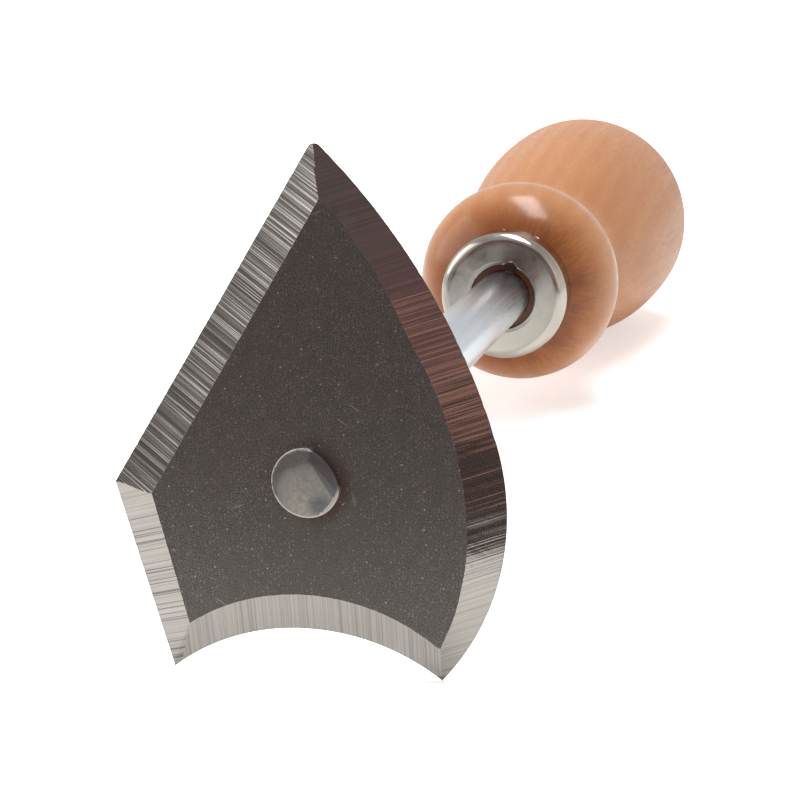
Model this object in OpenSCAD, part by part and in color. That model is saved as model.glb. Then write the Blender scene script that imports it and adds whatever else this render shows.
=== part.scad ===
// Shave hook for scraping paint out of mouldings: a plate blade riveted square
// across the end of a round steel shank, a cap ferrule and a turned handle.
// X runs along the shank from the blade to the handle, Z up to the blade's upper
// point and Y to the left as seen from the blade. The origin lies on the shank's
// axis at the back face of the blade.

/* [Blade] */
// Thickness of the blade plate
blade_t = 1.6; // [1.2:0.1:2.4]
// Height of the upper point above the shank's axis, before it is rounded
point_z = 35.2; // [32:0.1:38]
// Sideways place of the upper point
point_y = -1.6; // [-4:0.1:1]
// Radius that rounds the upper point
point_r = 0.8; // [0.3:0.1:1.5]
// Sideways place of the corner between the two straight edges
corner_y = 21.7; // [20:0.1:24]
// Height of that corner
corner_z = -1.05; // [-4:0.05:3]
// Sideways place of the foot below the short straight edge
foot_y = 16.15; // [14:0.05:18]
// Depth of both feet below the shank's axis
foot_drop = 21.5; // [19:0.1:24]
// Radius of the hollow edge between the feet
hollow_edge_r = 24.3; // [20:0.1:34]
// Radius of the lower half of the bowed edge
lower_bow_r = 27.4; // [26:0.1:29]
// Sideways place of the centre of the lower bow
lower_bow_y = 6.75; // [6:0.05:7.5]
// Height of the centre of the lower bow
lower_bow_z = -2.95; // [-4:0.05:-2]
// Radius of the upper half of the bowed edge
upper_bow_r = 69.5; // [60:0.5:85]

/* [Ground bevels] */
// Width of the bevel on the long straight edge
long_bevel_w = 3.95; // [2.5:0.05:5]
// Width of the bevel on the short straight edge
short_bevel_w = 4; // [2.5:0.05:5]
// Width of the bevel on the hollow edge
hollow_bevel_w = 3.95; // [2.5:0.05:5]
// Width of the bevel on the bowed edge
bow_bevel_w = 3.5; // [2.5:0.05:5]
// Thickness left at the cutting edge
edge_land = 0.1; // [0.05:0.05:0.3]

/* [Rivet end of the shank] */
// Radius of the tenon through the blade
tenon_r = 3; // [2.5:0.1:3.3]
// Clearance round the tenon
tenon_gap = 0.02; // [0.01:0.01:0.1]
// Radius of the peened head
head_r = 3.7; // [3.5:0.1:4.5]
// Height of the peened head over the blade
head_h = 1; // [0.7:0.1:1.5]
// Height of the head's upright rim
head_rim_h = 0.35; // [0.2:0.05:0.6]

/* [Shank] */
// Diameter of the round bar
shank_d = 8; // [7.5:0.1:9]
// Bare length between the blade and the ferrule
shank_len = 105.6; // [90:0.1:120]
// Length of the tang inside the handle
tang_len = 50; // [40:1:60]
// Length of the tang's drawn-down end
tang_point_len = 10; // [5:1:15]
// Radius at the very end of the tang
tang_end_r = 2; // [1:0.1:3]
// Thickness of the two wings that stop the handle turning
wing_t = 1.2; // [0.8:0.1:1.6]
// Length of each wing
wing_len = 22; // [15:1:30]
// Turn of the wings away from the blade's upright
wing_turn = 16; // [-45:1:45]

/* [Ferrule] */
// Outer diameter of the ferrule
ferrule_d = 19.5; // [18.5:0.1:21]
// Depth of the ferrule from its face to the end of its skirt
ferrule_len = 5.4; // [4:0.1:8]
// Thickness of the sheet it is drawn from
ferrule_wall = 0.8; // [0.5:0.1:1]
// Outer radius between face and skirt
ferrule_corner_r = 1.6; // [1.1:0.1:2.2]
// Diameter of the hole in its face
ferrule_hole_d = 9.8; // [9.6:0.1:11]
// Radius of the punch that staked the skirt
stake_r = 0.7; // [0.4:0.1:1]
// Depth of each stake mark
stake_depth = 0.35; // [0.2:0.05:0.45]

/* [Handle] */
// Largest diameter of the bead behind the ferrule
bead_d = 31.4; // [28:0.1:34]
// Distance from the ferrule's face to the bead's largest diameter
bead_place = 14.8; // [13:0.1:18]
// Radius of the bead's back curve
bead_back_r = 12; // [9:0.5:15]
// Diameter of the waist
waist_d = 24.8; // [22:0.1:27]
// Radius of the hollow curve at the waist
waist_curve_r = 25; // [18:1:32]
// Largest diameter of the grip
grip_d = 38.6; // [36:0.1:42]
// Distance from the ferrule's face to the grip's largest diameter
grip_place = 80.5; // [72:0.5:90]
// Radius of the rounded butt
butt_r = 17.5; // [14:0.1:18]
// Clearance round the tang and inside the ferrule
wood_gap = 0.05; // [0.02:0.01:0.15]

/* [Hidden] */
$fn = 96;
// Overrun of every cut past the face that it leaves
overrun = 1;
shank_r = shank_d / 2;
ferrule_r = ferrule_d / 2;
ferrule_hole_r = ferrule_hole_d / 2;
bead_r = bead_d / 2;
waist_r = waist_d / 2;
grip_r = grip_d / 2;
// The outer side of each wing runs just clear of the hole in the ferrule
wing_reach = sqrt(pow(ferrule_hole_r, 2) - pow(wing_t / 2, 2)) - wood_gap;
// How far the curves that run into each other overlap, so that they cross
curve_overlap = 0.01;
// A length that reaches past any edge of the blade from its middle
blade_reach = 3 * lower_bow_r;
// Places of the two stake marks round the skirt, in degrees from upright
stake_turns = [-2, 28];
// The flats that the hammer left on the head: the direction of each from upright
// and its tilt, in degrees, and the share of the head's radius where it starts
head_flat_turns = [-59, 28, -132];
head_flat_tilts = [18, 12, 19];
head_flat_start_shares = [0.42, 0.3, 0.6];

// Meeting point of two circles, on the right of the way from a to b
function meet(a, ra, b, rb) =
    let (gap = norm(b - a))
    let (along = (ra * ra - rb * rb + gap * gap) / (2 * gap))
    let (aside = sqrt(ra * ra - along * along))
    let (dir = (b - a) / gap)
    a + along * dir + aside * [dir[1], -dir[0]];

point = [point_y, point_z];
corner = [corner_y, corner_z];
left_foot = [foot_y, -foot_drop];
lower_bow = [lower_bow_y, lower_bow_z];
// The upper bow starts at the point and runs into the lower bow without a corner
upper_bow = meet(lower_bow, upper_bow_r - lower_bow_r + curve_overlap, point, upper_bow_r);
bow_joint_turn = atan2(lower_bow[1] - upper_bow[1], lower_bow[0] - upper_bow[0]);
// The second foot is where the lower bow comes down to the first foot's level
right_foot_y = lower_bow_y - sqrt(pow(lower_bow_r, 2) - pow(foot_drop + lower_bow_z, 2));
half_hollow = (foot_y - right_foot_y) / 2;
hollow_centre = [foot_y - half_hollow, -foot_drop - sqrt(pow(hollow_edge_r, 2) - pow(half_hollow, 2))];
// Unit vectors down the long straight edge, and from that edge into the blade
long_dir = (corner - point) / norm(corner - point);
long_in = [long_dir[1], -long_dir[0]];
short_dir = (left_foot - corner) / norm(left_foot - corner);
// Centre of the rounding, equally far inside the long edge and the upper bow
point_inset = point_r - curve_overlap;
round_start = point + point_inset * long_in - upper_bow;
round_half = -round_start * long_dir;
round_run = round_half - sqrt(pow(round_half, 2) - pow(norm(round_start), 2)
    + pow(upper_bow_r - point_inset, 2));
point_centre = upper_bow + round_start + abs(round_run) * long_dir;
point_out = (point_centre - upper_bow) / norm(point_centre - upper_bow);
round_left = point_centre - point_inset * long_in;
round_right = point_centre + point_inset * point_out;

// The turned outline's curves, each tangent to the next
bead_front_r = (pow(bead_place - ferrule_len, 2) + pow(bead_r - ferrule_r, 2))
    / (2 * (bead_r - ferrule_r));
bead_back = [bead_r - curve_overlap - bead_back_r, bead_place];
waist_rise = waist_r + waist_curve_r - bead_back[0];
waist_reach = waist_curve_r - curve_overlap;
waist = [waist_r + waist_curve_r,
    bead_place + sqrt(pow(bead_back_r + waist_reach, 2) - pow(waist_rise, 2))];
grip_run = grip_place - waist[1];
grip_rise = waist[0] - grip_r;
grip_curve_r = (pow(grip_run, 2) + pow(grip_rise, 2) - pow(waist_reach, 2))
    / (2 * (waist_reach - grip_rise));
grip = [grip_r - grip_curve_r, grip_place];
waist_start = bead_back + (waist - bead_back) * bead_back_r / (bead_back_r + waist_reach);
waist_end = waist + (grip - waist) * waist_reach / (grip_curve_r + waist_reach);

// All that lies on the left of a line through at, large enough for the blade
module half_plane(at, turn) {
    translate(at)
        rotate(turn)
            translate([-blade_reach, 0])
                square([2 * blade_reach, blade_reach]);
}

// All that lies below the rounding, and the rounding itself
module point_rounding() {
    translate(point_centre)
        circle(r = point_r);
    half_plane(round_left, atan2(round_right[1] - round_left[1], round_right[0] - round_left[0]));
}

// Outline before the bowed and hollow edges are cut: the straight edges and the point
module blank_outline() {
    intersection() {
        polygon([point - overrun * long_dir, corner, left_foot + lower_bow_r * short_dir,
            [-blade_reach, -blade_reach], [-blade_reach, blade_reach]]);
        point_rounding();
    }
}

// How far the bevel's face lies from the edge, at height z over the front face
function bevel_at(w, z) = w * (z / (blade_t - edge_land) - 1);

// Wedge that grinds a straight edge, which starts and ends past both corners
module straight_bevel(from, to, w) {
    run = norm(to - from);
    top = blade_t + overrun;
    translate(from)
        rotate(atan2(to[1] - from[1], to[0] - from[0]))
            translate([-run / 2, 0, 0])
                rotate([90, 0, 90])
                    linear_extrude(2 * run)
                        polygon([[bevel_at(w, -overrun), -overrun], [bevel_at(w, top), top],
                            [run, top], [run, -overrun]]);
}

// Round plate about centre: its edge has radius r at the back face, then comes the
// bevel, which widens (w above zero) or narrows the plate towards the front face
module bevelled_disc(centre, r, w) {
    top = blade_t + overrun;
    translate(centre)
        rotate_extrude()
            polygon([[0, -overrun], [r - bevel_at(w, -overrun), -overrun],
                [r, blade_t - edge_land], [r, top], [0, top]]);
}

// What lies behind the bowed edge
module ground_bow() {
    bevelled_disc(lower_bow, lower_bow_r, -bow_bevel_w);
    intersection() {
        bevelled_disc(upper_bow, upper_bow_r, -bow_bevel_w);
        translate([0, 0, -2 * overrun])
            linear_extrude(blade_t + 4 * overrun)
                half_plane(lower_bow, bow_joint_turn + 180);
    }
}

// Ground plate, hardened steel, with bevels on the side away from the handle
module blade() {
    color("#4a4644")
        translate([-blade_t, 0, 0])
            rotate([90, 0, 90])
                difference() {
                    intersection() {
                        linear_extrude(blade_t)
                            blank_outline();
                        ground_bow();
                    }
                    straight_bevel(point, corner, long_bevel_w);
                    straight_bevel(corner, left_foot, short_bevel_w);
                    bevelled_disc(hollow_centre, hollow_edge_r, hollow_bevel_w);
                    translate([0, 0, -overrun])
                        cylinder(h = blade_t + 2 * overrun, r = tenon_r + tenon_gap);
                }
}

// Domed head, hammered over the blade, standing on z = 0 with its crown up
module peened_head() {
    crown = head_h - head_rim_h;
    dome_r = (head_r * head_r + crown * crown) / (2 * crown);
    difference() {
        intersection() {
            cylinder(h = head_h + overrun, r = head_r);
            translate([0, 0, head_h - dome_r])
                rotate([90, 0, 0])
                    sphere(r = dome_r);
        }
        for (i = [0 : len(head_flat_turns) - 1]) {
            start = head_flat_start_shares[i] * head_r;
            rotate(head_flat_turns[i])
                translate([start, 0, head_h - dome_r + sqrt(pow(dome_r, 2) - pow(start, 2))])
                    rotate([0, head_flat_tilts[i], 0])
                        translate([-head_r, -head_r, 0])
                            cube([3 * head_r, 2 * head_r, head_h]);
        }
    }
}

// One bar: peened head, tenon, round shank, winged tang
module shank() {
    color("#b9c0c6") {
        translate([-blade_t, 0, 0])
            rotate([0, -90, 0])
                peened_head();
        rotate([0, 90, 0]) {
            translate([0, 0, -blade_t])
                cylinder(h = blade_t + overrun, r = tenon_r);
            cylinder(h = shank_len + tang_len - tang_point_len, r = shank_r);
            translate([0, 0, shank_len + tang_len - tang_point_len])
                cylinder(h = tang_point_len, r1 = shank_r, r2 = tang_end_r);
        }
        wings(wing_t, wing_reach, wing_len);
    }
}

// The pair of wings across the tang, which start just inside the ferrule's face
module wings(t, reach, run) {
    rotate([wing_turn, 0, 0])
        translate([shank_len + ferrule_wall / 2, -t / 2, -reach])
            cube([run, t, 2 * reach]);
}

// Half of a cup's cross-section, with its closed end at the bottom
module cup_section(r, depth, corner_r) {
    square([r - corner_r, depth]);
    translate([0, corner_r])
        square([r, depth - corner_r]);
    translate([r - corner_r, corner_r])
        circle(r = corner_r);
}

// Cap drawn from sheet, with a hole for the winged tang and two stake marks
module ferrule() {
    color("#c9c5bb")
        translate([shank_len, 0, 0])
            difference() {
                rotate([0, 90, 0])
                    rotate_extrude()
                        difference() {
                            cup_section(ferrule_r, ferrule_len, ferrule_corner_r);
                            translate([0, ferrule_wall])
                                cup_section(ferrule_r - ferrule_wall, ferrule_len,
                                    ferrule_corner_r - ferrule_wall);
                            translate([0, -overrun])
                                square([ferrule_hole_r, ferrule_wall + 2 * overrun]);
                        }
                for (turn = stake_turns)
                    rotate([turn, 0, 0])
                        translate([ferrule_len - stake_r, 0, ferrule_r + stake_r - stake_depth])
                            rotate([90, 0, 0])
                                sphere(r = stake_r);
            }
}

// The part of a circle that lies from one distance behind the ferrule's face to another
module turned_curve(centre, r, from, to) {
    intersection() {
        translate(centre)
            circle(r = r);
        translate([0, from])
            square([grip_r + overrun, to - from]);
    }
}

// Half of the handle's cross-section, radius across and distance from the ferrule's face up
module handle_section() {
    spigot_r = ferrule_r - ferrule_wall - wood_gap;
    spigot_start = ferrule_wall + wood_gap;
    chamfer = ferrule_corner_r - ferrule_wall;
    difference() {
        union() {
            polygon([[0, spigot_start], [spigot_r - chamfer, spigot_start],
                [spigot_r, spigot_start + chamfer], [spigot_r, ferrule_len], [0, bead_place]]);
            turned_curve([bead_r - bead_front_r, bead_place], bead_front_r, ferrule_len, waist[1]);
            turned_curve(bead_back, bead_back_r, bead_place, waist[1]);
            polygon([[0, bead_place], [bead_back[0], bead_place], waist_start, waist_end,
                [0, waist_end[1]]]);
            turned_curve(grip, grip_curve_r, waist[1], grip_place);
            turned_curve([grip_r - butt_r, grip_place], butt_r, grip_place, grip_place + butt_r);
            translate([0, grip_place])
                square([grip_r - butt_r, butt_r]);
        }
        translate(waist)
            circle(r = waist_curve_r);
    }
}

// Turned hardwood, bored for the tang, with a spigot that fills the ferrule
module handle() {
    color("#cf9463")
        difference() {
            translate([shank_len, 0, 0])
                rotate([0, 90, 0])
                    rotate_extrude()
                        handle_section();
            rotate([0, 90, 0]) {
                cylinder(h = shank_len + tang_len - tang_point_len + wood_gap,
                    r = shank_r + wood_gap);
                translate([0, 0, shank_len + tang_len - tang_point_len])
                    cylinder(h = tang_point_len + wood_gap, r1 = shank_r + wood_gap,
                        r2 = tang_end_r + wood_gap);
            }
            wings(wing_t + 2 * wood_gap, wing_reach + wood_gap, wing_len + wood_gap);
        }
}

blade();
shank();
ferrule();
handle();
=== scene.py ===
import math
import random

import bmesh
import bpy
from mathutils import Matrix, Vector


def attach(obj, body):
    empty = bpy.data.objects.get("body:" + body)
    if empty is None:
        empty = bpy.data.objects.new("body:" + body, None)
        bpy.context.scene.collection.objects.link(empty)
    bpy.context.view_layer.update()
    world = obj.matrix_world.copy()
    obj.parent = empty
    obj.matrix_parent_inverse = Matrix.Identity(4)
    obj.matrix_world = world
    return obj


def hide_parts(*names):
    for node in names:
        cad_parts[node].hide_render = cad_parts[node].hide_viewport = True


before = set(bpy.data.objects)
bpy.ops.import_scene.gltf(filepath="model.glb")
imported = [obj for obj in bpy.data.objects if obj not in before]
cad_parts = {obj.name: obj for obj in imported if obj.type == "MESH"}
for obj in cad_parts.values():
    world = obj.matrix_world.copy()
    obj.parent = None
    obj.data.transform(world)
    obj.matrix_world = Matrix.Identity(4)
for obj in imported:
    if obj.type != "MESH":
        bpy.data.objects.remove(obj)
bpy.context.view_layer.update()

# Setting
# The tool lies on a white table: on the two feet of its blade and the belly of
# its handle. A long soft lamp hangs over it and a second one stands on its left.
# Cards that only gloss sees are what the ground steel mirrors.
mm = 0.001
camera_place = Vector((-198.4, -59.2, 55.6)) * mm
camera_forward = Vector((0.9456, 0.2356, -0.2242)).normalized()
camera_up = Vector((0.2250, 0.0239, 0.9741))
lens_mm = 92.61

camera_data = bpy.data.cameras.new("camera")
camera_data.sensor_width = 36
camera_data.lens = lens_mm
camera_data.clip_start = 0.01
camera = bpy.data.objects.new("camera", camera_data)
camera_right = camera_forward.cross(camera_up).normalized()
camera_up = camera_right.cross(camera_forward)
turned = Matrix((camera_right, camera_up, -camera_forward)).transposed().to_4x4()
camera.matrix_world = Matrix.Translation(camera_place) @ turned
bpy.context.scene.collection.objects.link(camera)
bpy.context.scene.camera = camera
bpy.context.scene.view_settings.view_transform = "Standard"


def add_node(tree, kind, inputs=(), **settings):
    """Adds a node, sets its options, then sets or links its inputs."""
    made = tree.nodes.new(kind)
    for name, value in settings.items():
        setattr(made, name, value)
    for name, value in dict(inputs).items():
        if isinstance(value, bpy.types.NodeSocket):
            tree.links.new(value, made.inputs[name])
        else:
            made.inputs[name].default_value = value
    return made


def add_math(tree, operation, *values):
    """One Math node; its values are numbers or other nodes' outputs."""
    return add_node(tree, "ShaderNodeMath", dict(enumerate(values)), operation=operation).outputs[0]


def link_object(name, bm):
    """Makes an object at the origin from a bmesh."""
    data = bpy.data.meshes.new(name)
    bm.to_mesh(data)
    bm.free()
    made = bpy.data.objects.new(name, data)
    bpy.context.scene.collection.objects.link(made)
    return made


def fade(tree, value, low, high, to_low=0.0, to_high=1.0):
    """Runs softly from to_low to to_high while value goes from low to high."""
    return add_node(tree, "ShaderNodeMapRange",
        {"Value": value, "From Min": low, "From Max": high, "To Min": to_low, "To Max": to_high},
        interpolation_type="SMOOTHSTEP").outputs["Result"]


def new_finish(name):
    """A material with nodes: itself, its node tree and its Principled shader."""
    finish = bpy.data.materials.new(name)
    finish.use_nodes = True
    return finish, finish.node_tree, finish.node_tree.nodes["Principled BSDF"]


def distance_to(tree, place, spot):
    """How far a place is from a fixed spot."""
    return add_node(tree, "ShaderNodeVectorMath", {0: place, 1: spot}, operation="DISTANCE").outputs["Value"]


# White all round for the camera. Gloss sees a greyer ceiling, and the soft light that
# fills the shadows is weaker from in front of the tool, where the camera stands.
world = bpy.data.worlds.new("white_studio")
bpy.context.scene.world = world
world.use_nodes = True
tree = world.node_tree
direction = add_node(tree, "ShaderNodeTexCoord").outputs["Generated"]
ahead, leftward, upward = add_node(tree, "ShaderNodeSeparateXYZ", {0: direction}).outputs
path = add_node(tree, "ShaderNodeLightPath").outputs
in_gloss = add_math(tree, "MULTIPLY",
    fade(tree, upward, 0.1, 0.7, 0.85, 0.45),
    fade(tree, ahead, 0.1, 0.8, 1.0, 0.95))
in_gloss = add_math(tree, "MULTIPLY", path["Is Glossy Ray"], in_gloss)
seen_white = add_math(tree, "MAXIMUM", path["Is Camera Ray"], path["Is Transmission Ray"])
fill = add_math(tree, "MULTIPLY",
    fade(tree, ahead, -0.8, 0.1, 0.15, 0.50), fade(tree, leftward, -0.9, 0.1, 0.42, 1.0))
tree.links.new(
    add_math(tree, "MAXIMUM", add_math(tree, "MAXIMUM", seen_white, in_gloss), fill),
    tree.nodes["Background"].inputs["Strength"])
tree.nodes["Background"].inputs["Color"].default_value = (1, 1, 1, 1)

foot_drop = 21.5 * mm
belly_place, belly_r = 186.1 * mm, 19.3 * mm
table_slope = math.atan2(foot_drop - belly_r, belly_place)
table_half = 3.0
bm = bmesh.new()
bmesh.ops.create_grid(bm, x_segments=1, y_segments=1, size=table_half)
bmesh.ops.rotate(bm, verts=bm.verts, matrix=Matrix.Rotation(-table_slope, 3, "Y"))
bmesh.ops.translate(bm, verts=bm.verts, vec=(0, 0, -foot_drop))
table = link_object("table", bm)

paper, tree, shader = new_finish("white_paper")
shader.inputs["Base Color"].default_value = (0.9, 0.9, 0.9, 1)
shader.inputs["Roughness"].default_value = 0.9
shader.inputs["Emission Color"].default_value = (1, 1, 1, 1)
# The paper's own white as the camera sees it, and much darker in gloss. Both grow
# away from the tool.
tool_middle = (90 * mm, 0, 0)
place = add_node(tree, "ShaderNodeTexCoord").outputs["Object"]
away = distance_to(tree, place, tool_middle)
path = add_node(tree, "ShaderNodeLightPath").outputs
for_camera = add_math(tree, "MULTIPLY", path["Is Camera Ray"], fade(tree, away, 0.15, 0.55, 0.58, 1.0))
in_gloss = add_math(tree, "MAXIMUM", path["Is Glossy Ray"], path["Is Transmission Ray"])
in_gloss = add_math(tree, "MULTIPLY", in_gloss, fade(tree, away, 0.12, 0.4, 0.22, 0.3))
bounced = add_math(tree, "MULTIPLY", path["Is Diffuse Ray"], 0.16)
tree.links.new(
    add_math(tree, "ADD", add_math(tree, "ADD", for_camera, in_gloss), bounced),
    shader.inputs["Emission Strength"])
table.data.materials.append(paper)

lamps = {
    # name: (place, the lamp's width and height, power)
    "lamp_over": ((0.12, -0.08, 0.75), (0.60, 0.24), 4.5),
    "lamp_left": ((-0.05, 0.70, 0.38), (0.80, 0.55), 2.2),
}
lamp_aim = Vector((0.08, 0, 0))
for name, (place, size, power) in lamps.items():
    lamp_data = bpy.data.lights.new(name, "AREA")
    lamp_data.shape = "RECTANGLE"
    lamp_data.size, lamp_data.size_y = size
    lamp_data.energy = power
    lamp = bpy.data.objects.new(name, lamp_data)
    lamp.location = place
    lamp.rotation_euler = (lamp_aim - lamp.location).to_track_quat("-Z", "Y").to_euler()
    bpy.context.scene.collection.objects.link(lamp)


def card_shade(name, shades):
    """A plain glow whose colour changes with height over the tool's axis, in mm."""
    shade, tree, shader = new_finish(name)
    tree.nodes.remove(shader)
    height = add_node(tree, "ShaderNodeSeparateXYZ",
        {0: add_node(tree, "ShaderNodeTexCoord").outputs["Object"]}).outputs["Z"]
    low, high = shades[0][0], shades[-1][0]
    ramp = add_node(tree, "ShaderNodeValToRGB",
        {"Fac": add_node(tree, "ShaderNodeMapRange",
            {"Value": height, "From Min": low * mm, "From Max": high * mm}).outputs["Result"]})
    stops = ramp.color_ramp.elements
    stops[0].color, stops[1].color = (*shades[0][1], 1), (*shades[-1][1], 1)
    for level, colour in shades[1:-1]:
        stops.new((level - low) / (high - low)).color = (*colour, 1)
    tree.links.new(
        add_node(tree, "ShaderNodeEmission", {"Color": ramp.outputs["Color"]}).outputs[0],
        tree.nodes["Material Output"].inputs["Surface"])
    return shade


# The front cards are dark with a warm band, and the left one is grey. Their colours
# were set by trial against the photo, for this camera. From elsewhere a bevel can
# mirror the warm band and look brown.
front_shade = card_shade("front_card", (
    (-25, (0.078, 0.064, 0.067)), (-8, (0.165, 0.105, 0.096)), (20, (0.80, 0.42, 0.335)),
    (60, (0.30, 0.165, 0.152)), (100, (0.195, 0.108, 0.114)), (200, (0.180, 0.135, 0.140)),
    (400, (0.145, 0.122, 0.124))))
left_shade = card_shade("left_card", (
    (0, (0.31, 0.292, 0.282)), (60, (0.49, 0.466, 0.447)), (120, (0.64, 0.613, 0.59)),
    (160, (0.70, 0.673, 0.647))))
cards = {
    # name: (place, turn in degrees about X, Y and Z, size across and up, shade)
    "card_on_table": ((-0.247, -0.10, -0.0235), (0, -0.68, 0), (0.43, 0.62), front_shade),
    "card_in_front": ((-0.45, -0.055, 0.23), (0, 90, 0), (0.54, 0.71), front_shade),
    "card_on_left": ((-0.30, 0.42, 0.065), (90, 0, 35), (0.34, 0.19), left_shade),
}
for name, (place, turns, size, shade) in cards.items():
    bm = bmesh.new()
    bmesh.ops.create_grid(bm, x_segments=1, y_segments=1, size=0.5)
    bmesh.ops.scale(bm, verts=bm.verts, vec=(*size, 1))
    for axis, turn in zip("XYZ", turns):
        bmesh.ops.rotate(bm, verts=bm.verts, matrix=Matrix.Rotation(math.radians(turn), 3, axis))
    bmesh.ops.translate(bm, verts=bm.verts, vec=place)
    card = link_object(name, bm)
    card.data.materials.append(shade)
    card.visible_camera = card.visible_diffuse = card.visible_shadow = False
    card.visible_transmission = card.visible_volume_scatter = False

# Handle
# One piece of beech turned on a lathe: spigot, bead, waist, belly and rounded
# butt, bored for the tang. Stained a warm orange and dipped in clear lacquer.
ferrule_face = 105.6 * mm
ferrule_len = 5.4 * mm
ferrule_wall = 0.8 * mm
ferrule_corner_r = 1.6 * mm
ferrule_r = 9.75 * mm
wood_gap = 0.05 * mm
spigot_r = ferrule_r - ferrule_wall - wood_gap
spigot_chamfer = ferrule_corner_r - ferrule_wall
spigot_start = ferrule_face + ferrule_wall + wood_gap
bore_r = 4.05 * mm
bore_cone_start = ferrule_face + 40.05 * mm
bore_end = ferrule_face + 50.05 * mm
bore_end_r = 2.05 * mm
bead_r, bead_back_r = 15.7 * mm, 12 * mm
bead_place = ferrule_face + 14.8 * mm
waist_r, waist_curve_r = 12.4 * mm, 25 * mm
grip_r, butt_r = 19.3 * mm, 17.5 * mm
grip_place = ferrule_face + 80.5 * mm
turning_steps = 192


def line_to(bm, end, x, r):
    """Draws a turned piece's outline on from its end vertex to (x, r)."""
    made = bmesh.ops.extrude_vert_indiv(bm, verts=[end])["verts"][0]
    made.co = (x, 0, r)
    return made


def arc_to(bm, end, x, r, centre_x, centre_r, steps):
    """Draws the outline on to (x, r), round a centre."""
    start_angle = math.atan2(end.co.z - centre_r, end.co.x - centre_x)
    turn = math.atan2(r - centre_r, x - centre_x) - start_angle
    turn = (turn + math.pi) % (2 * math.pi) - math.pi
    made = bmesh.ops.spin(
        bm, geom=[end], cent=(centre_x, 0, centre_r), axis=(0, 1, 0), angle=-turn,
        steps=steps, use_merge=False, use_duplicate=False)["geom_last"]
    return next(g for g in made if isinstance(g, bmesh.types.BMVert))


def turn_on_lathe(bm, steps, start_angle=0):
    """Spins the outline round the X axis and closes the poles."""
    bmesh.ops.rotate(bm, verts=bm.verts, matrix=Matrix.Rotation(start_angle, 3, "X"))
    bmesh.ops.spin(
        bm, geom=bm.verts[:] + bm.edges[:], cent=(0, 0, 0), axis=(1, 0, 0),
        angle=2 * math.pi, steps=steps, use_merge=True, use_duplicate=False)
    bmesh.ops.remove_doubles(bm, verts=bm.verts, dist=1e-7)
    bmesh.ops.recalc_face_normals(bm, faces=bm.faces)


def smooth_within(bm, degrees):
    """Smooth shading, with every sharper corner kept crisp."""
    for face in bm.faces:
        face.smooth = True
    for edge in bm.edges:
        edge.smooth = len(edge.link_faces) == 2 and edge.calc_face_angle() < math.radians(degrees)


front_curve_r = ((bead_place - ferrule_face - ferrule_len) ** 2 + (bead_r - ferrule_r) ** 2) \
    / (2 * (bead_r - ferrule_r))
back_centre = Vector((bead_place, bead_r - bead_back_r))
waist_rise = waist_r + waist_curve_r - back_centre.y
waist_centre = Vector((
    bead_place + math.sqrt((bead_back_r + waist_curve_r) ** 2 - waist_rise ** 2),
    waist_r + waist_curve_r))
grip_run = grip_place - waist_centre.x
grip_rise = waist_centre.y - grip_r
grip_curve_r = (grip_run ** 2 + grip_rise ** 2 - waist_curve_r ** 2) / (2 * (waist_curve_r - grip_rise))
grip_centre = Vector((grip_place, grip_r - grip_curve_r))
waist_start = back_centre.lerp(waist_centre, bead_back_r / (bead_back_r + waist_curve_r))
waist_end = grip_centre.lerp(waist_centre, grip_curve_r / (grip_curve_r + waist_curve_r))

bm = bmesh.new()
end = bm.verts.new((grip_place + butt_r, 0, 0))
end = line_to(bm, end, grip_place + butt_r, grip_r - butt_r)
end = arc_to(bm, end, grip_place, grip_r, grip_place, grip_r - butt_r, 24)
end = arc_to(bm, end, *waist_end, *grip_centre, 24)
end = arc_to(bm, end, *waist_start, *waist_centre, 24)
end = arc_to(bm, end, bead_place, bead_r, *back_centre, 10)
end = arc_to(bm, end, ferrule_face + ferrule_len, ferrule_r, bead_place, bead_r - front_curve_r, 16)
end = line_to(bm, end, ferrule_face + ferrule_len, spigot_r)
end = line_to(bm, end, spigot_start + spigot_chamfer, spigot_r)
end = line_to(bm, end, spigot_start, spigot_r - spigot_chamfer)
end = line_to(bm, end, spigot_start, bore_r)
end = line_to(bm, end, bore_cone_start, bore_r)
end = line_to(bm, end, bore_end, bore_end_r)
end = line_to(bm, end, bore_end, 0)
turn_on_lathe(bm, turning_steps)
smooth_within(bm, 20)
handle = link_object("turned_handle", bm)


def new_group(name, inputs):
    """A shader node group with named number or vector inputs and one output, Mask."""
    group = bpy.data.node_groups.new(name, "ShaderNodeTree")
    for socket_name, kind in inputs.items():
        group.interface.new_socket(socket_name, in_out="INPUT", socket_type="NodeSocket" + kind)
    group.interface.new_socket("Mask", in_out="OUTPUT", socket_type="NodeSocketFloat")
    return group, group.nodes.new("NodeGroupInput").outputs, group.nodes.new("NodeGroupOutput").inputs


def use_group(tree, group, inputs):
    return add_node(tree, "ShaderNodeGroup", inputs, node_tree=group).outputs["Mask"]


# Effects that finishes share: dots or dashes, long fine lines, cloudy smudges, and
# grooves of uneven tone
specks, given, result = new_group(
    "specks", {"Vector": "Vector", "Scale": "Float", "Radius": "Float", "Share": "Float"})
cells = add_node(specks, "ShaderNodeTexVoronoi",
    {"Vector": given["Vector"], "Scale": given["Scale"]}, voronoi_dimensions="2D")
near = add_node(specks, "ShaderNodeMapRange",
    {"Value": cells.outputs["Distance"], "From Min": given["Radius"],
     "From Max": add_math(specks, "MULTIPLY", given["Radius"], 0.4)})
chosen = add_math(specks, "LESS_THAN",
    add_node(specks, "ShaderNodeSeparateColor", {0: cells.outputs["Color"]}).outputs[0], given["Share"])
specks.links.new(add_math(specks, "MULTIPLY", near.outputs[0], chosen), result["Mask"])

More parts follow.
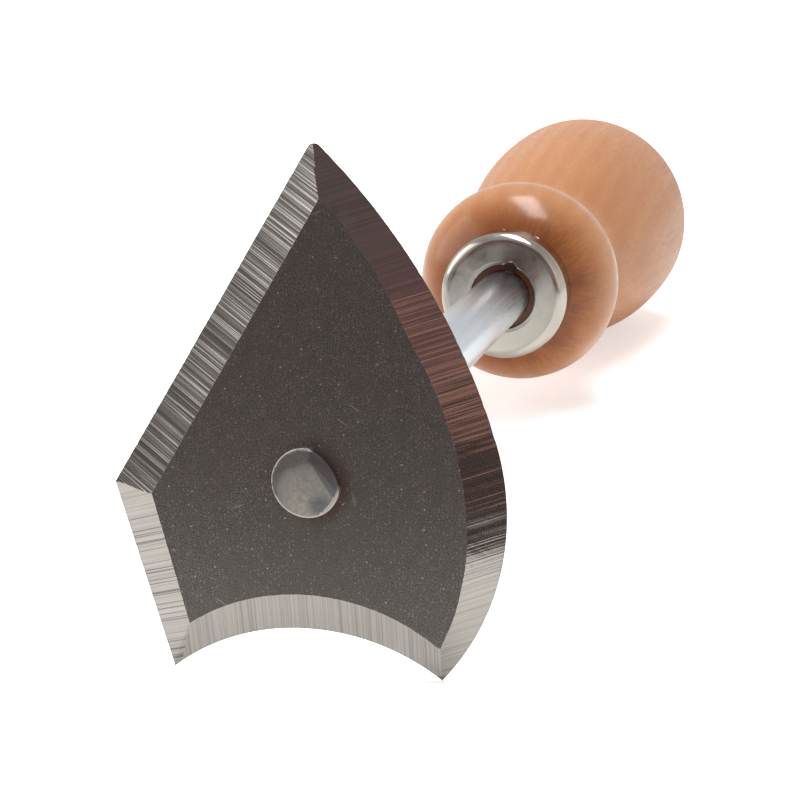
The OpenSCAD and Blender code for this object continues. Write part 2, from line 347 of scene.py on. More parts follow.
long_lines, given, result = new_group("long_lines", {"Vector": "Vector", "Along": "Float", "Across": "Float"})
stretch = add_node(long_lines, "ShaderNodeCombineXYZ",
    {"X": given["Along"], "Y": given["Across"], "Z": given["Across"]})
stretched = add_node(long_lines, "ShaderNodeVectorMath",
    {0: given["Vector"], 1: stretch.outputs[0]}, operation="MULTIPLY").outputs[0]
fine = add_node(long_lines, "ShaderNodeTexNoise",
    {"Vector": stretched, "Scale": 1, "Detail": 2, "Roughness": 0.6})
wide = add_node(long_lines, "ShaderNodeTexNoise", {"Vector": stretched, "Scale": 0.21, "Detail": 1})
long_lines.links.new(
    add_math(long_lines, "ADD",
        add_math(long_lines, "MULTIPLY", fine.outputs[0], 0.62),
        add_math(long_lines, "MULTIPLY", wide.outputs[0], 0.38)),
    result["Mask"])

smudges, given, result = new_group("smudges", {"Vector": "Vector", "Scale": "Float"})
clouds = add_node(smudges, "ShaderNodeTexNoise",
    {"Vector": given["Vector"], "Scale": given["Scale"], "Detail": 3, "Roughness": 0.55, "Distortion": 0.4})
smudges.links.new(
    add_node(smudges, "ShaderNodeMapRange",
        {"Value": clouds.outputs[0], "From Min": 0.32, "From Max": 0.68}).outputs[0],
    result["Mask"])

grooves, given, result = new_group("grooves", {"Vector": "Vector", "Along": "Float", "Across": "Float"})
stretch = add_node(grooves, "ShaderNodeCombineXYZ", {"X": given["Along"], "Y": given["Across"]})
stretched = add_node(grooves, "ShaderNodeVectorMath",
    {0: given["Vector"], 1: stretch.outputs[0]}, operation="MULTIPLY").outputs[0]
cells = add_node(grooves, "ShaderNodeTexVoronoi",
    {"Vector": stretched, "Scale": 1}, voronoi_dimensions="2D")
grooves.links.new(
    add_node(grooves, "ShaderNodeSeparateColor", {0: cells.outputs["Color"]}).outputs[0], result["Mask"])


def mix_colour(tree, share, first, second, blend="MIX"):
    """Mixes two colours by a share from 0 to 1."""
    made = add_node(tree, "ShaderNodeMix", data_type="RGBA", blend_type=blend)
    for socket, value in ((0, share), (6, first), (7, second)):
        if isinstance(value, bpy.types.NodeSocket):
            tree.links.new(value, made.inputs[socket])
        else:
            made.inputs[socket].default_value = value if socket == 0 else (*value, 1)
    return made.outputs[2]


def add_bump(tree, height, depth, strength=1.0):
    return add_node(tree, "ShaderNodeBump",
        {"Height": height, "Distance": depth, "Strength": strength}).outputs["Normal"]


def turned_coordinates(tree, mean_r):
    """The object place, and where that is on a turned surface: along, round and radius."""
    place = add_node(tree, "ShaderNodeTexCoord").outputs["Object"]
    x, y, z = add_node(tree, "ShaderNodeSeparateXYZ", {0: place}).outputs
    radius = add_math(tree, "SQRT", add_math(tree, "ADD",
        add_math(tree, "MULTIPLY", y, y), add_math(tree, "MULTIPLY", z, z)))
    around = add_math(tree, "MULTIPLY", add_math(tree, "ARCTAN2", y, z), mean_r)
    return place, x, around, radius


mean_wood_r = 16 * mm
stained_wood, tree, shader = new_finish("stained_beech")
place, x, around, radius = turned_coordinates(tree, mean_wood_r)
unrolled = add_node(tree, "ShaderNodeCombineXYZ", {"X": x, "Y": around}).outputs[0]
# Growth rings that the turning cuts through, fine grain, ray flecks, darker end grain
ring_place = add_node(tree, "ShaderNodeMapping",
    {"Vector": place, "Location": (0, 0.030, 0.011), "Rotation": (0.25, 0.03, 0.05),
     "Scale": (0.10, 1, 0.75)}).outputs[0]
rings = add_node(tree, "ShaderNodeTexWave",
    {"Vector": ring_place, "Scale": 95, "Distortion": 2.6, "Detail": 2, "Detail Scale": 1.2},
    wave_type="RINGS", rings_direction="X").outputs["Fac"]
grain = use_group(tree, long_lines, {"Vector": place, "Along": 90, "Across": 2600})
fleck_place = add_node(tree, "ShaderNodeMapping",
    {"Vector": unrolled, "Scale": (0.22, 1, 1)}).outputs[0]
flecks = use_group(tree, specks, {"Vector": fleck_place, "Scale": 1500, "Radius": 0.30, "Share": 0.45})
cloudy = use_group(tree, smudges, {"Vector": place, "Scale": 55})
bead_end_grain = fade(tree, x, bead_place - 3.4 * mm, ferrule_face + ferrule_len + 0.2 * mm)
butt_end_grain = fade(tree, x, grip_place + 6 * mm, grip_place + butt_r)
end_grain = add_math(tree, "MAXIMUM", bead_end_grain, butt_end_grain)
end_flecks = use_group(tree, long_lines, {"Vector": unrolled, "Along": 650, "Across": 1300})
colour = mix_colour(tree, rings, (0.61, 0.268, 0.114), (0.66, 0.305, 0.136))
colour = mix_colour(tree, fade(tree, grain, 0.35, 0.65, 0, 0.4), colour, (0.55, 0.215, 0.082))
colour = mix_colour(tree, add_math(tree, "MULTIPLY", cloudy, 0.4), colour, (0.68, 0.315, 0.142))
colour = mix_colour(tree, add_math(tree, "MULTIPLY", flecks, 0.10), colour, (0.42, 0.150, 0.052))
# Painted shade: a darker band runs down the grip's upper right
off_grip_shade_band = add_math(tree, "ABSOLUTE", add_math(tree, "MULTIPLY_ADD", around, 1 / mean_wood_r, 0.85))
grip_shade_band = add_math(tree, "MULTIPLY",
    fade(tree, off_grip_shade_band, 0.62, 0.05, 0, 0.28),
    fade(tree, x, bead_place, bead_place + 25 * mm))
colour = mix_colour(tree, grip_shade_band, colour, (0.46, 0.175, 0.075))
# The end grain's flecks show most on the bead's right
side = add_node(tree, "ShaderNodeSeparateXYZ", {0: place}).outputs["Y"]
end_flecks = add_math(tree, "MULTIPLY_ADD",
    add_math(tree, "SUBTRACT", fade(tree, end_flecks, 0.35, 0.65), 0.5),
    fade(tree, side, 3 * mm, -8 * mm, 0.35, 1.0), 0.5)
dark_end = mix_colour(tree, end_flecks, (0.25, 0.060, 0.009), (0.45, 0.135, 0.030))
colour = mix_colour(tree, add_math(tree, "MULTIPLY", end_grain, 0.85), colour, dark_end)
# Painted shade on the wood against the ferrule, and inside the ferrule's hole
shade_against_ferrule = fade(tree, x, ferrule_face + ferrule_len + 2.2 * mm, ferrule_face + ferrule_len, 0, 0.4)
colour = mix_colour(tree, shade_against_ferrule, colour, (0.19, 0.042, 0.006))
shade_in_hole = add_math(tree, "MULTIPLY",
    fade(tree, radius, spigot_r, 5.2 * mm), add_math(tree, "LESS_THAN", x, spigot_start + 1 * mm))
colour = mix_colour(tree, add_math(tree, "MULTIPLY", shade_in_hole, 0.6), colour, (0.05, 0.022, 0.012))
tree.links.new(colour, shader.inputs["Base Color"])
tree.links.new(fade(tree, grain, 0.3, 0.7, 0.34, 0.46), shader.inputs["Roughness"])
shader.inputs["Specular IOR Level"].default_value = 0.1
# The lacquer shines on the bead and is duller on the grip
tree.links.new(
    fade(tree, x, bead_place + 1 * mm, bead_place + 20 * mm, 0.8, 0.25), shader.inputs["Coat Weight"])
shader.inputs["Coat Roughness"].default_value = 0.2
shader.inputs["Coat IOR"].default_value = 1.45
tree.links.new(add_bump(tree, grain, 0.012 * mm), shader.inputs["Normal"])
handle.data.materials.append(stained_wood)

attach(handle, "root")
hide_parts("handle")

# Ferrule
# Cap drawn from brass sheet and nickel plated, pressed over the spigot. Its face
# has a hole with a rounded lip, and two punch marks in its skirt keep it on.
lip_r = 0.45 * mm
hole_r = 4.9 * mm
stake_r = 0.7 * mm
stakes = ((-2, 0.16 * mm), (28, 0.28 * mm))
ferrule_steps = 300
skirt_rings, face_rings = 26, 8
skirt_edge = 0.1 * mm

bm = bmesh.new()
end = bm.verts.new((ferrule_face + ferrule_len, 0, ferrule_r - ferrule_wall))
rim_start = end
end = line_to(bm, end, ferrule_face + ferrule_len, ferrule_r - skirt_edge)
skirt_start = ferrule_face + ferrule_len - skirt_edge
skirt_run = skirt_start - ferrule_face - ferrule_corner_r
for ring in range(skirt_rings + 1):
    end = line_to(bm, end, skirt_start - skirt_run * ring / skirt_rings, ferrule_r)
corner_centre = (ferrule_face + ferrule_corner_r, ferrule_r - ferrule_corner_r)
end = arc_to(bm, end, ferrule_face, corner_centre[1], *corner_centre, 16)
for ring in range(1, face_rings + 1):
    share = ring / face_rings
    end = line_to(bm, end, ferrule_face, corner_centre[1] + (hole_r + lip_r - corner_centre[1]) * share)
end = arc_to(bm, end, ferrule_face + lip_r, hole_r, ferrule_face + lip_r, hole_r + lip_r, 8)
end = line_to(bm, end, ferrule_face + ferrule_wall, hole_r)
end = line_to(bm, end, ferrule_face + ferrule_wall, corner_centre[1])
end = arc_to(bm, end, ferrule_face + ferrule_corner_r, ferrule_r - ferrule_wall, *corner_centre, 8)
end = line_to(bm, end, *rim_start.co.xz)
turn_on_lathe(bm, ferrule_steps)
for turn, stake_depth in stakes:
    angle = math.radians(turn)
    outward = Vector((0, -math.sin(angle), math.cos(angle)))
    punch = outward * (ferrule_r + stake_r - stake_depth)
    punch.x = ferrule_face + ferrule_len - stake_r
    for vert in bm.verts:
        aside = (vert.co - punch) - outward * (vert.co - punch).dot(outward)
        if aside.length < stake_r and vert.co.dot(outward) > ferrule_r - 0.3 * mm:
            depth = punch.dot(outward) - math.sqrt(stake_r ** 2 - aside.length_squared)
            vert.co += outward * min(0, depth - vert.co.dot(outward))
# The hole is filed out a little on both sides, where the tang's wings went through
wing_turn = math.radians(16)
notch_depth, notch_half, notch_fade = 0.55 * mm, math.radians(14), 0.6 * mm


def wing_way(side):
    """The way out along one of the tang's wings: side is 1 for the upper one, -1 for the lower."""
    return side * Vector((0, -math.sin(wing_turn), math.cos(wing_turn)))


for vert in bm.verts:
    around = Vector((0, vert.co.y, vert.co.z))
    in_lip = vert.co.x < ferrule_face + ferrule_wall + 0.01 * mm
    if in_lip and around.length < hole_r + lip_r + notch_fade:
        for side in (1, -1):
            off = around.angle(wing_way(side)) / notch_half
            if off < 1:
                near = min(1, (hole_r + lip_r + notch_fade - around.length) / notch_fade)
                vert.co += around.normalized() * notch_depth * near * (1 - off ** 2) ** 2
smooth_within(bm, 35)
ferrule = link_object("drawn_ferrule", bm)

nickel, tree, shader = new_finish("nickel_plate")
place, x, around, radius = turned_coordinates(tree, ferrule_r)
spun = add_node(tree, "ShaderNodeCombineXYZ",
    {"X": around, "Y": add_math(tree, "ADD", x, radius)}).outputs[0]
polish = use_group(tree, long_lines, {"Vector": spun, "Along": 180, "Across": 7000})
haze = use_group(tree, smudges, {"Vector": place, "Scale": 260})
wavy = use_group(tree, smudges, {"Vector": place, "Scale": 120})
colour = mix_colour(tree, haze, (0.50, 0.465, 0.405), (0.60, 0.56, 0.495))
# A painted dark reflection on the face, beside the hole where the wing went through its edge
hole_reflection_r = 6.3 * mm
hole_reflection_place = (ferrule_face, *(wing_way(1) * hole_reflection_r).yz)
hole_dark_reflection = fade(tree, distance_to(tree, place, hole_reflection_place), 2.4 * mm, 0.6 * mm, 0, 0.3)
colour = mix_colour(tree, hole_dark_reflection, colour, (0.17, 0.16, 0.145))
# A painted dark reflection darkens the face towards its upper left
_, y, z = add_node(tree, "ShaderNodeSeparateXYZ", {0: place}).outputs
face_dark_reflection = fade(tree, add_math(tree, "MULTIPLY_ADD", z, 0.4, y), -1 * mm, 8 * mm, 0, 0.45)
face_dark_reflection = add_math(tree, "MULTIPLY", face_dark_reflection,
    fade(tree, x, ferrule_face + 0.5 * mm, ferrule_face + 0.1 * mm))
colour = mix_colour(tree, face_dark_reflection, colour, (0.24, 0.235, 0.225))
tree.links.new(colour, shader.inputs["Base Color"])
shader.inputs["Metallic"].default_value = 1.0
tree.links.new(fade(tree, haze, 0, 1, 0.14, 0.24), shader.inputs["Roughness"])
surface = add_math(tree, "ADD", wavy, add_math(tree, "MULTIPLY", polish, 0.05))
tree.links.new(add_bump(tree, surface, 0.02 * mm), shader.inputs["Normal"])
ferrule.data.materials.append(nickel)

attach(ferrule, "root")
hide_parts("ferrule")

# Shank
# One round steel bar, zinc plated. Its tang has two squeezed wings that bite in
# the wood; its front end goes through the blade and is hammered over.
blade_t = 1.6 * mm
head_r, head_h, head_rim_h = 3.7 * mm, 1.1 * mm, 0.72 * mm
tenon_r = 3 * mm
shank_r = 4 * mm
tang_cone_start, tang_end = ferrule_face + 40 * mm, ferrule_face + 50 * mm
tang_end_r = 2 * mm
wing_start = ferrule_face + ferrule_wall / 2
wing_len = 22 * mm
wing_reach, wing_half, wing_round = 4.8 * mm, math.radians(9), 0.25 * mm
shoulder_chamfer = 0.15 * mm
rim_curve_r = 0.16 * mm
bar_steps = 120
# The flats that the hammer left: direction from upright, tilt, and where each starts
head_flats = ((170, 4.8, -0.62), (-59.5, 16, 0.467), (28, 13, 0.40))
# The rim is a little higher than wide and beaten flatter on its upper right
head_height = 1.03
beaten_turn, beaten_from, beaten_share = -54, 2.4 * mm, 0.42

crown = head_h - head_rim_h
dome_r = (head_r ** 2 + crown ** 2) / (2 * crown)
dome_top = -blade_t - head_h
bm = bmesh.new()
end = bm.verts.new((dome_top, 0, 0))
crown_end = head_r - rim_curve_r
crown_end_x = dome_top + dome_r - math.sqrt(dome_r ** 2 - crown_end ** 2)
end = arc_to(bm, end, crown_end_x, crown_end, dome_top + dome_r, 0, 30)
rim_curve = (-blade_t - head_rim_h + rim_curve_r / 2, crown_end)
end = arc_to(bm, end, rim_curve[0], head_r, *rim_curve, 5)
end = line_to(bm, end, -blade_t, head_r - 0.05 * mm)
end = line_to(bm, end, -blade_t, tenon_r)
end = line_to(bm, end, 0, tenon_r)
end = line_to(bm, end, 0, shank_r - shoulder_chamfer)
end = line_to(bm, end, shoulder_chamfer, shank_r)
for share in (0.25, 0.5, 0.75, 1):
    end = line_to(bm, end, wing_start * share, shank_r)
end = line_to(bm, end, wing_start + wing_len, shank_r)
end = line_to(bm, end, tang_cone_start, shank_r)
end = line_to(bm, end, tang_end, tang_end_r)
end = line_to(bm, end, tang_end, 0)
turn_on_lathe(bm, bar_steps, wing_turn)

for side in (1, -1):
    wing_out = wing_way(side)
    wing_faces = []
    for face in bm.faces:
        middle = face.calc_center_median()
        if wing_start < middle.x < wing_start + wing_len:
            middle.x = 0
            if middle.angle(wing_out) < wing_half:
                wing_faces.append(face)
    raised = bmesh.ops.extrude_face_region(bm, geom=wing_faces)["geom"]
    raised = [g for g in raised if isinstance(g, bmesh.types.BMVert)]
    bmesh.ops.translate(bm, verts=raised, vec=wing_out * (wing_reach - shank_r))
    bmesh.ops.delete(bm, geom=[f for f in wing_faces if f.is_valid], context="FACES")
    wing_front = [e for v in raised for e in v.link_edges
                  if all(w in raised and w.co.x < wing_start + 0.01 * mm for w in e.verts)]
    bmesh.ops.bevel(
        bm, geom=list(set(wing_front)), offset=wing_round, segments=3, profile=0.5,
        affect="EDGES", material=-1)

sunk = {}
for turn, tilt, start_share in head_flats:
    start = start_share * head_r
    rise = dome_top + dome_r - math.sqrt(dome_r ** 2 - start ** 2)
    toward = Vector((0, math.sin(math.radians(turn)), math.cos(math.radians(turn))))
    slope = math.tan(math.radians(tilt))
    for vert in bm.verts:
        if vert.co.x < -blade_t - 0.01 * mm:
            # The rounded rim sinks as one with the crown's edge beside it
            on_crown = min(1, crown_end / max(vert.co.yz.length, 1e-9))
            flat_x = rise + slope * (on_crown * vert.co.dot(toward) - start)
            crown_x = dome_top + dome_r - math.sqrt(dome_r ** 2 - (on_crown * vert.co.yz.length) ** 2)
            sunk[vert] = max(sunk.get(vert, 0), flat_x - crown_x)
for vert, depth in sunk.items():
    vert.co.x = min(vert.co.x + depth, -blade_t - 0.02 * mm)
toward = Vector((0, math.sin(math.radians(beaten_turn)), math.cos(math.radians(beaten_turn))))
for vert in bm.verts:
    if vert.co.x < -blade_t + 0.01 * mm and vert.co.yz.length > tenon_r + 0.1 * mm:
        vert.co -= toward * beaten_share * max(0, vert.co.dot(toward) - beaten_from)
    if vert.co.x < -blade_t - 0.005 * mm:
        vert.co.z *= head_height
bmesh.ops.remove_doubles(bm, verts=bm.verts, dist=1e-6)
bmesh.ops.recalc_face_normals(bm, faces=bm.faces)
smooth_within(bm, 30)
shank = link_object("plated_shank", bm)

zinc, tree, shader = new_finish("zinc_plate")
place, x, around, radius = turned_coordinates(tree, shank_r)
drawn = use_group(tree, long_lines, {"Vector": place, "Along": 12, "Across": 1500})
haze = use_group(tree, smudges, {"Vector": place, "Scale": 200})
hammered = add_node(tree, "ShaderNodeTexVoronoi",
    {"Vector": place, "Scale": 1100, "Smoothness": 0.6}, feature="SMOOTH_F1").outputs["Distance"]
is_head = add_math(tree, "LESS_THAN", x, -blade_t - 0.02 * mm)
bar_colour = mix_colour(
    tree, fade(tree, drawn, 0.35, 0.65), (0.72, 0.80, 0.87), (0.76, 0.84, 0.91))
# A painted dark reflection on the bar's upper side next to the ferrule
_, y, z = add_node(tree, "ShaderNodeSeparateXYZ", {0: place}).outputs
bar_dark_reflection = add_math(tree, "MULTIPLY",
    fade(tree, x, ferrule_face - 22 * mm, ferrule_face - 3 * mm, 0, 0.6),
    fade(tree, add_math(tree, "MULTIPLY_ADD", y, -0.6, z), -1 * mm, 3 * mm))
bar_colour = mix_colour(tree, bar_dark_reflection, bar_colour, (0.27, 0.285, 0.31))
# Painted shade on the wings and in the corner where they leave the bar
wing_shade = fade(tree, radius, shank_r + 0.02 * mm, shank_r + 0.1 * mm)
bar_colour = mix_colour(tree, wing_shade, bar_colour, (0.10, 0.085, 0.075))
head_colour = mix_colour(tree, haze, (0.44, 0.46, 0.44), (0.62, 0.575, 0.50))
mottled = add_node(tree, "ShaderNodeTexNoise",
    {"Vector": place, "Scale": 2200, "Detail": 3, "Roughness": 0.7}).outputs[0]
head_colour = mix_colour(
    tree, fade(tree, mottled, 0.38, 0.62, 0.0, 0.5), head_colour, (0.36, 0.355, 0.34))
# The head is darker towards its upper left and bluer low on its right
around_head = add_node(tree, "ShaderNodeCombineXYZ", {"X": around, "Y": radius}).outputs[0]
pits = use_group(tree, specks, {"Vector": around_head, "Scale": 4200, "Radius": 0.3, "Share": 0.3})
pits = add_math(tree, "MULTIPLY_ADD", pits, -0.6, 1.0)
for marked_place, low, high, share, marked in (
        ((-2.5 * mm, -0.4 * mm, -1.3 * mm), 2.8 * mm, 4.1 * mm, 0.85, (0.20, 0.20, 0.20)),
        ((-2.4 * mm, -1.5 * mm, -2.4 * mm), 1.9 * mm, 0.5 * mm, 0.7, (0.17, 0.195, 0.225))):
    away = distance_to(tree, place, marked_place)
    mark = add_math(tree, "MULTIPLY", fade(tree, away, low, high, 0, share), pits)
    head_colour = mix_colour(tree, mark, head_colour, marked)
# A painted dark reflection makes the right flat darker and bluer all over, up to its straight edge
facet_turn = math.radians(head_flats[1][0])
facet_start = head_flats[1][2] * head_r
toward_facet = add_math(tree, "MULTIPLY_ADD", y, math.sin(facet_turn),
    add_math(tree, "MULTIPLY", z, math.cos(facet_turn)))
facet_dark_reflection = fade(tree, toward_facet, facet_start - 0.04 * mm, facet_start + 0.08 * mm, 0, 0.8)
head_colour = mix_colour(tree, facet_dark_reflection, head_colour, (0.20, 0.215, 0.225))
# The rim is rubbed bright, and a painted highlight makes it widest on the lower right
from_low_right = distance_to(tree, place, (-2.1 * mm, -3.0 * mm, -2.3 * mm))
bright_rim_r = add_math(tree, "ADD", radius, fade(tree, from_low_right, 2.6 * mm, 0.6 * mm, 0, 0.30 * mm))
bright_rim_r = add_math(tree, "MULTIPLY_ADD", add_math(tree, "SUBTRACT", mottled, 0.5), 0.5 * mm, bright_rim_r)
rim_wear_and_highlight = fade(tree, bright_rim_r, head_r - 0.22 * mm, head_r - 0.08 * mm, 0, 0.85)
head_colour = mix_colour(tree, rim_wear_and_highlight, head_colour, (0.86, 0.82, 0.77))
tree.links.new(mix_colour(tree, is_head, bar_colour, head_colour), shader.inputs["Base Color"])
shader.inputs["Metallic"].default_value = 1.0
tree.links.new(
    add_math(tree, "ADD",
        fade(tree, drawn, 0.3, 0.7, 0.24, 0.28), add_math(tree, "MULTIPLY", is_head, 0.24)),
    shader.inputs["Roughness"])
surface = add_math(tree, "ADD",
    add_math(tree, "MULTIPLY", drawn, 0.002),
    add_math(tree, "MULTIPLY", hammered, is_head))
tree.links.new(add_bump(tree, surface, 0.03 * mm), shader.inputs["Normal"])
shank.data.materials.append(zinc)

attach(shank, "root")
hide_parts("shank")

# Blade
# Plate of hardened steel with its dark rolled skin. Every edge is ground on the
# front: two straight ones, a hollow one below and a bowed one on the right. The
# ground faces meet in mitred ridges. The shank's tenon is riveted in its hole.
point = Vector((-1.6, 35.2)) * mm
corner = Vector((21.7, -1.05)) * mm
left_foot = Vector((16.15, -21.5)) * mm
hollow_edge_r = 24.3 * mm
lower_bow, lower_bow_r = Vector((6.75, -2.95)) * mm, 27.4 * mm
upper_bow_r = 69.5 * mm
point_r = 0.8 * mm
edge_land = 0.1 * mm
hole_in_blade_r = 3.02 * mm


def meet(a, a_r, b, b_r):
    """Meeting point of two circles, on the right of the way from a to b."""
    gap = (b - a).length
    along = (a_r ** 2 - b_r ** 2 + gap ** 2) / (2 * gap)
    aside = math.sqrt(a_r ** 2 - along ** 2)
    way = (b - a) / gap
    return a + along * way + aside * Vector((way.y, -way.x))


upper_bow = meet(lower_bow, upper_bow_r - lower_bow_r, point, upper_bow_r)
right_foot = Vector((
    lower_bow.x - math.sqrt(lower_bow_r ** 2 - (left_foot.y - lower_bow.y) ** 2), left_foot.y))
half_hollow = (left_foot.x - right_foot.x) / 2
hollow_centre = Vector((
    left_foot.x - half_hollow, left_foot.y - math.sqrt(hollow_edge_r ** 2 - half_hollow ** 2)))
bow_joint = lower_bow + (lower_bow - upper_bow).normalized() * lower_bow_r
long_dir = (corner - point).normalized()
long_in = Vector((long_dir.y, -long_dir.x))
round_start = point + point_r * long_in - upper_bow
round_half = -round_start.dot(long_dir)
round_run = abs(round_half - math.sqrt(
    round_half ** 2 - round_start.length_squared + (upper_bow_r - point_r) ** 2))
round_centre = upper_bow + round_start + round_run * long_dir
round_left = round_centre - point_r * long_in
round_right = round_centre + point_r * (round_centre - upper_bow).normalized()

# Where the ground faces end on the front. The bowed one's inner edge is uneven, so it
# follows places measured in the photo and no arc.
inner_tip = Vector((-2.43, 29.33)) * mm
inner_corner = Vector((17.12, -1.86)) * mm
inner_left_foot = Vector((13.69, -16.07)) * mm
inner_right_foot = Vector((-13.65, -17.48)) * mm
inner_sole_centre, inner_sole_r = Vector((1.055, -35.22)) * mm, 22.94 * mm
inner_bow = [Vector(p) * mm for p in (
    (-13.65, -17.48), (-15.18, -13.95), (-15.98, -11.04), (-16.65, -7.47), (-16.72, -4.38),
    (-16.48, -0.17), (-15.75, 4.00), (-15.09, 6.37), (-13.44, 10.88), (-11.15, 15.56),
    (-9.48, 19.25), (-7.49, 22.84), (-5.50, 25.78), (-4.12, 27.83), (-2.43, 29.33))]


def along_curve(points, share):
    """The place at a share of the length of a smooth curve through the points."""
    lengths = [0]
    for a, b in zip(points, points[1:]):
        lengths.append(lengths[-1] + (b - a).length)
    target = share * lengths[-1]
    i = max(k for k in range(len(points) - 1) if lengths[k] <= target + 1e-9)
    t = (target - lengths[i]) / (lengths[i + 1] - lengths[i])
    a, b = points[max(i - 1, 0)], points[i]
    c, d = points[i + 1], points[min(i + 2, len(points) - 1)]
    return 0.5 * (2 * b + (c - a) * t + (2 * a - 5 * b + 4 * c - d) * t ** 2
                  + (3 * b - a - 3 * c + d) * t ** 3)


def on_circle(centre, r, start, end, share):
    """The place at a share of the arc from start to end, the short way."""
    a, b = (math.atan2((p - centre).y, (p - centre).x) for p in (start, end))
    angle = a + ((b - a + math.pi) % (2 * math.pi) - math.pi) * share
    return centre + r * Vector((math.cos(angle), math.sin(angle)))


lower_bow_len = lower_bow_r * (right_foot - lower_bow).angle(bow_joint - lower_bow)
upper_bow_len = upper_bow_r * (bow_joint - upper_bow).angle(round_right - upper_bow)
lower_share = lower_bow_len / (lower_bow_len + upper_bow_len)
# The short edge's lines run on round the left foot, as far as this place on the hollow edge
foot_corner_y = 15.3 * mm
foot_corner_end = Vector((foot_corner_y, hollow_centre.y
    + math.sqrt(hollow_edge_r ** 2 - (foot_corner_y - hollow_centre.x) ** 2)))
# Each edge: its steps, outer and inner place at a share of its length, and the way
# its grinding lines run, in degrees above the horizontal towards the camera's right
long_edge, short_edge, foot_corner, hollow_edge, lower_bowed, upper_bowed, rounding = range(7)
ground_edges = (
    (130, lambda s: round_left.lerp(corner, s), lambda s: inner_tip.lerp(inner_corner, s), -31),
    (70, lambda s: corner.lerp(left_foot, s), lambda s: inner_corner.lerp(inner_left_foot, s), 18),
    (10, lambda s: on_circle(hollow_centre, hollow_edge_r, left_foot, foot_corner_end, s),
     lambda s: inner_left_foot, 18),
    (100, lambda s: on_circle(hollow_centre, hollow_edge_r, foot_corner_end, right_foot, s),
     lambda s: on_circle(inner_sole_centre, inner_sole_r, inner_left_foot, inner_right_foot, s), 86),
    (100, lambda s: on_circle(lower_bow, lower_bow_r, right_foot, bow_joint, s),
     lambda s: along_curve(inner_bow, s * lower_share), 15),
    (80, lambda s: on_circle(upper_bow, upper_bow_r, bow_joint, round_right, s),
     lambda s: along_curve(inner_bow, lower_share + s * (1 - lower_share)), 15),
    (8, lambda s: on_circle(round_centre, point_r, round_right, round_left, s),
     lambda s: inner_tip, 15),
)
bevel_slope = 0.38
rounding_ridge = 5
tip_ridge_bend, corner_ridge_bend = 0.2 * mm, 0.09 * mm
bevel_shares = (0.03, 0.27, 0.5, 0.73, 0.97, 1.0)
ragged, nicked = 0.025 * mm, 0.05 * mm
uneven = random.Random(11)

stations = []
for edge_number, (steps, outer, inner, _) in enumerate(ground_edges):
    for step in range(steps):
        outer_place, inner_place = outer(step / steps), inner(step / steps)
        if 0 < step and edge_number not in (foot_corner, rounding):
            inward = (inner_place - outer_place).normalized()
            inner_place = inner_place + inward * uneven.uniform(-ragged, ragged)
            if edge_number in (long_edge, upper_bowed):
                outer_place = outer_place + inward * nicked * uneven.random() ** 3
        stations.append((edge_number, step, outer_place, inner_place))

bm = bmesh.new()
inward_share = bm.verts.layers.float.new("inward")
belongs = bm.faces.layers.int.new("ground_edge")
grinding = bm.loops.layers.uv.new("grinding")
loop = [bm.verts.new((0, *stations[0][2]))]
for station in stations[1:]:
    loop.append(bmesh.ops.extrude_vert_indiv(bm, verts=[loop[-1]])["verts"][0])
    loop[-1].co = (0, *station[2])
bm.edges.new((loop[-1], loop[0]))


def extrude_loop(bm, loop):
    """Extrudes a closed loop of vertices. The new loop has the same order."""
    edges = [bm.edges.get((a, b)) for a, b in zip(loop, loop[1:] + loop[:1])]
    made = bmesh.ops.extrude_edge_only(bm, edges=edges)["geom"]
    new = {g for g in made if isinstance(g, bmesh.types.BMVert)}
    return [next(e.other_vert(v) for e in v.link_edges if e.other_vert(v) in new) for v in loop]


def land_at(edge_number, place):
    """Thickness of the plate at its outer edge: the rounding cuts off the thinnest part."""
    if edge_number != rounding:
        return edge_land
    from_long = (place - point).dot(long_in)
    from_bow = upper_bow_r - (place - upper_bow).length
    return edge_land + bevel_slope * max(0, min(from_long, from_bow))


def ridge_bend(edge_number, step, share):
    """How far the ridges between ground faces bend away from straight lines."""
    if (edge_number, step) == (rounding, rounding_ridge):
        return Vector((-tip_ridge_bend * 4 * share * (1 - share), 0))
    if (edge_number, step) == (short_edge, 0):
        return Vector((0, corner_ridge_bend * math.sin(2 * math.pi * share)))
    return Vector((0, 0))


# Edges with the same number share one set of grinding lines, which lies apart from the others
line_sets = (0, 1, 1, 2, 3, 3, 3)
line_set_gap = 0.3
for share in (0, *bevel_shares):
    loop = extrude_loop(bm, loop)
    for vert, (edge_number, step, outer_place, inner_place) in zip(loop, stations):
        land = land_at(edge_number, outer_place)
        place = outer_place.lerp(inner_place, share) + ridge_bend(edge_number, step, share)
        vert.co = (-land - (blade_t - land) * share, *place)
        vert[inward_share] = share
    for a, b, station in zip(loop, loop[1:] + loop[:1], stations):
        face = bm.edges.get((a, b)).link_faces[0]
        face.material_index = 1
        # Past its ridge the rounded tip is ground with the long edge
        past_ridge = station[0] == rounding and station[1] >= rounding_ridge
        ground_with = long_edge if past_ridge else station[0]
        face[belongs] = ground_with + 1
        lines_turn = math.radians(ground_edges[ground_with][3])
        along = Vector((-math.cos(lines_turn), math.sin(lines_turn)))
        across = Vector((along.y, -along.x))
        apart = line_sets[ground_with] * line_set_gap
        for corner_loop in face.loops:
            place = corner_loop.vert.co.yz
            corner_loop[grinding].uv = (place.dot(along), place.dot(across) + apart)

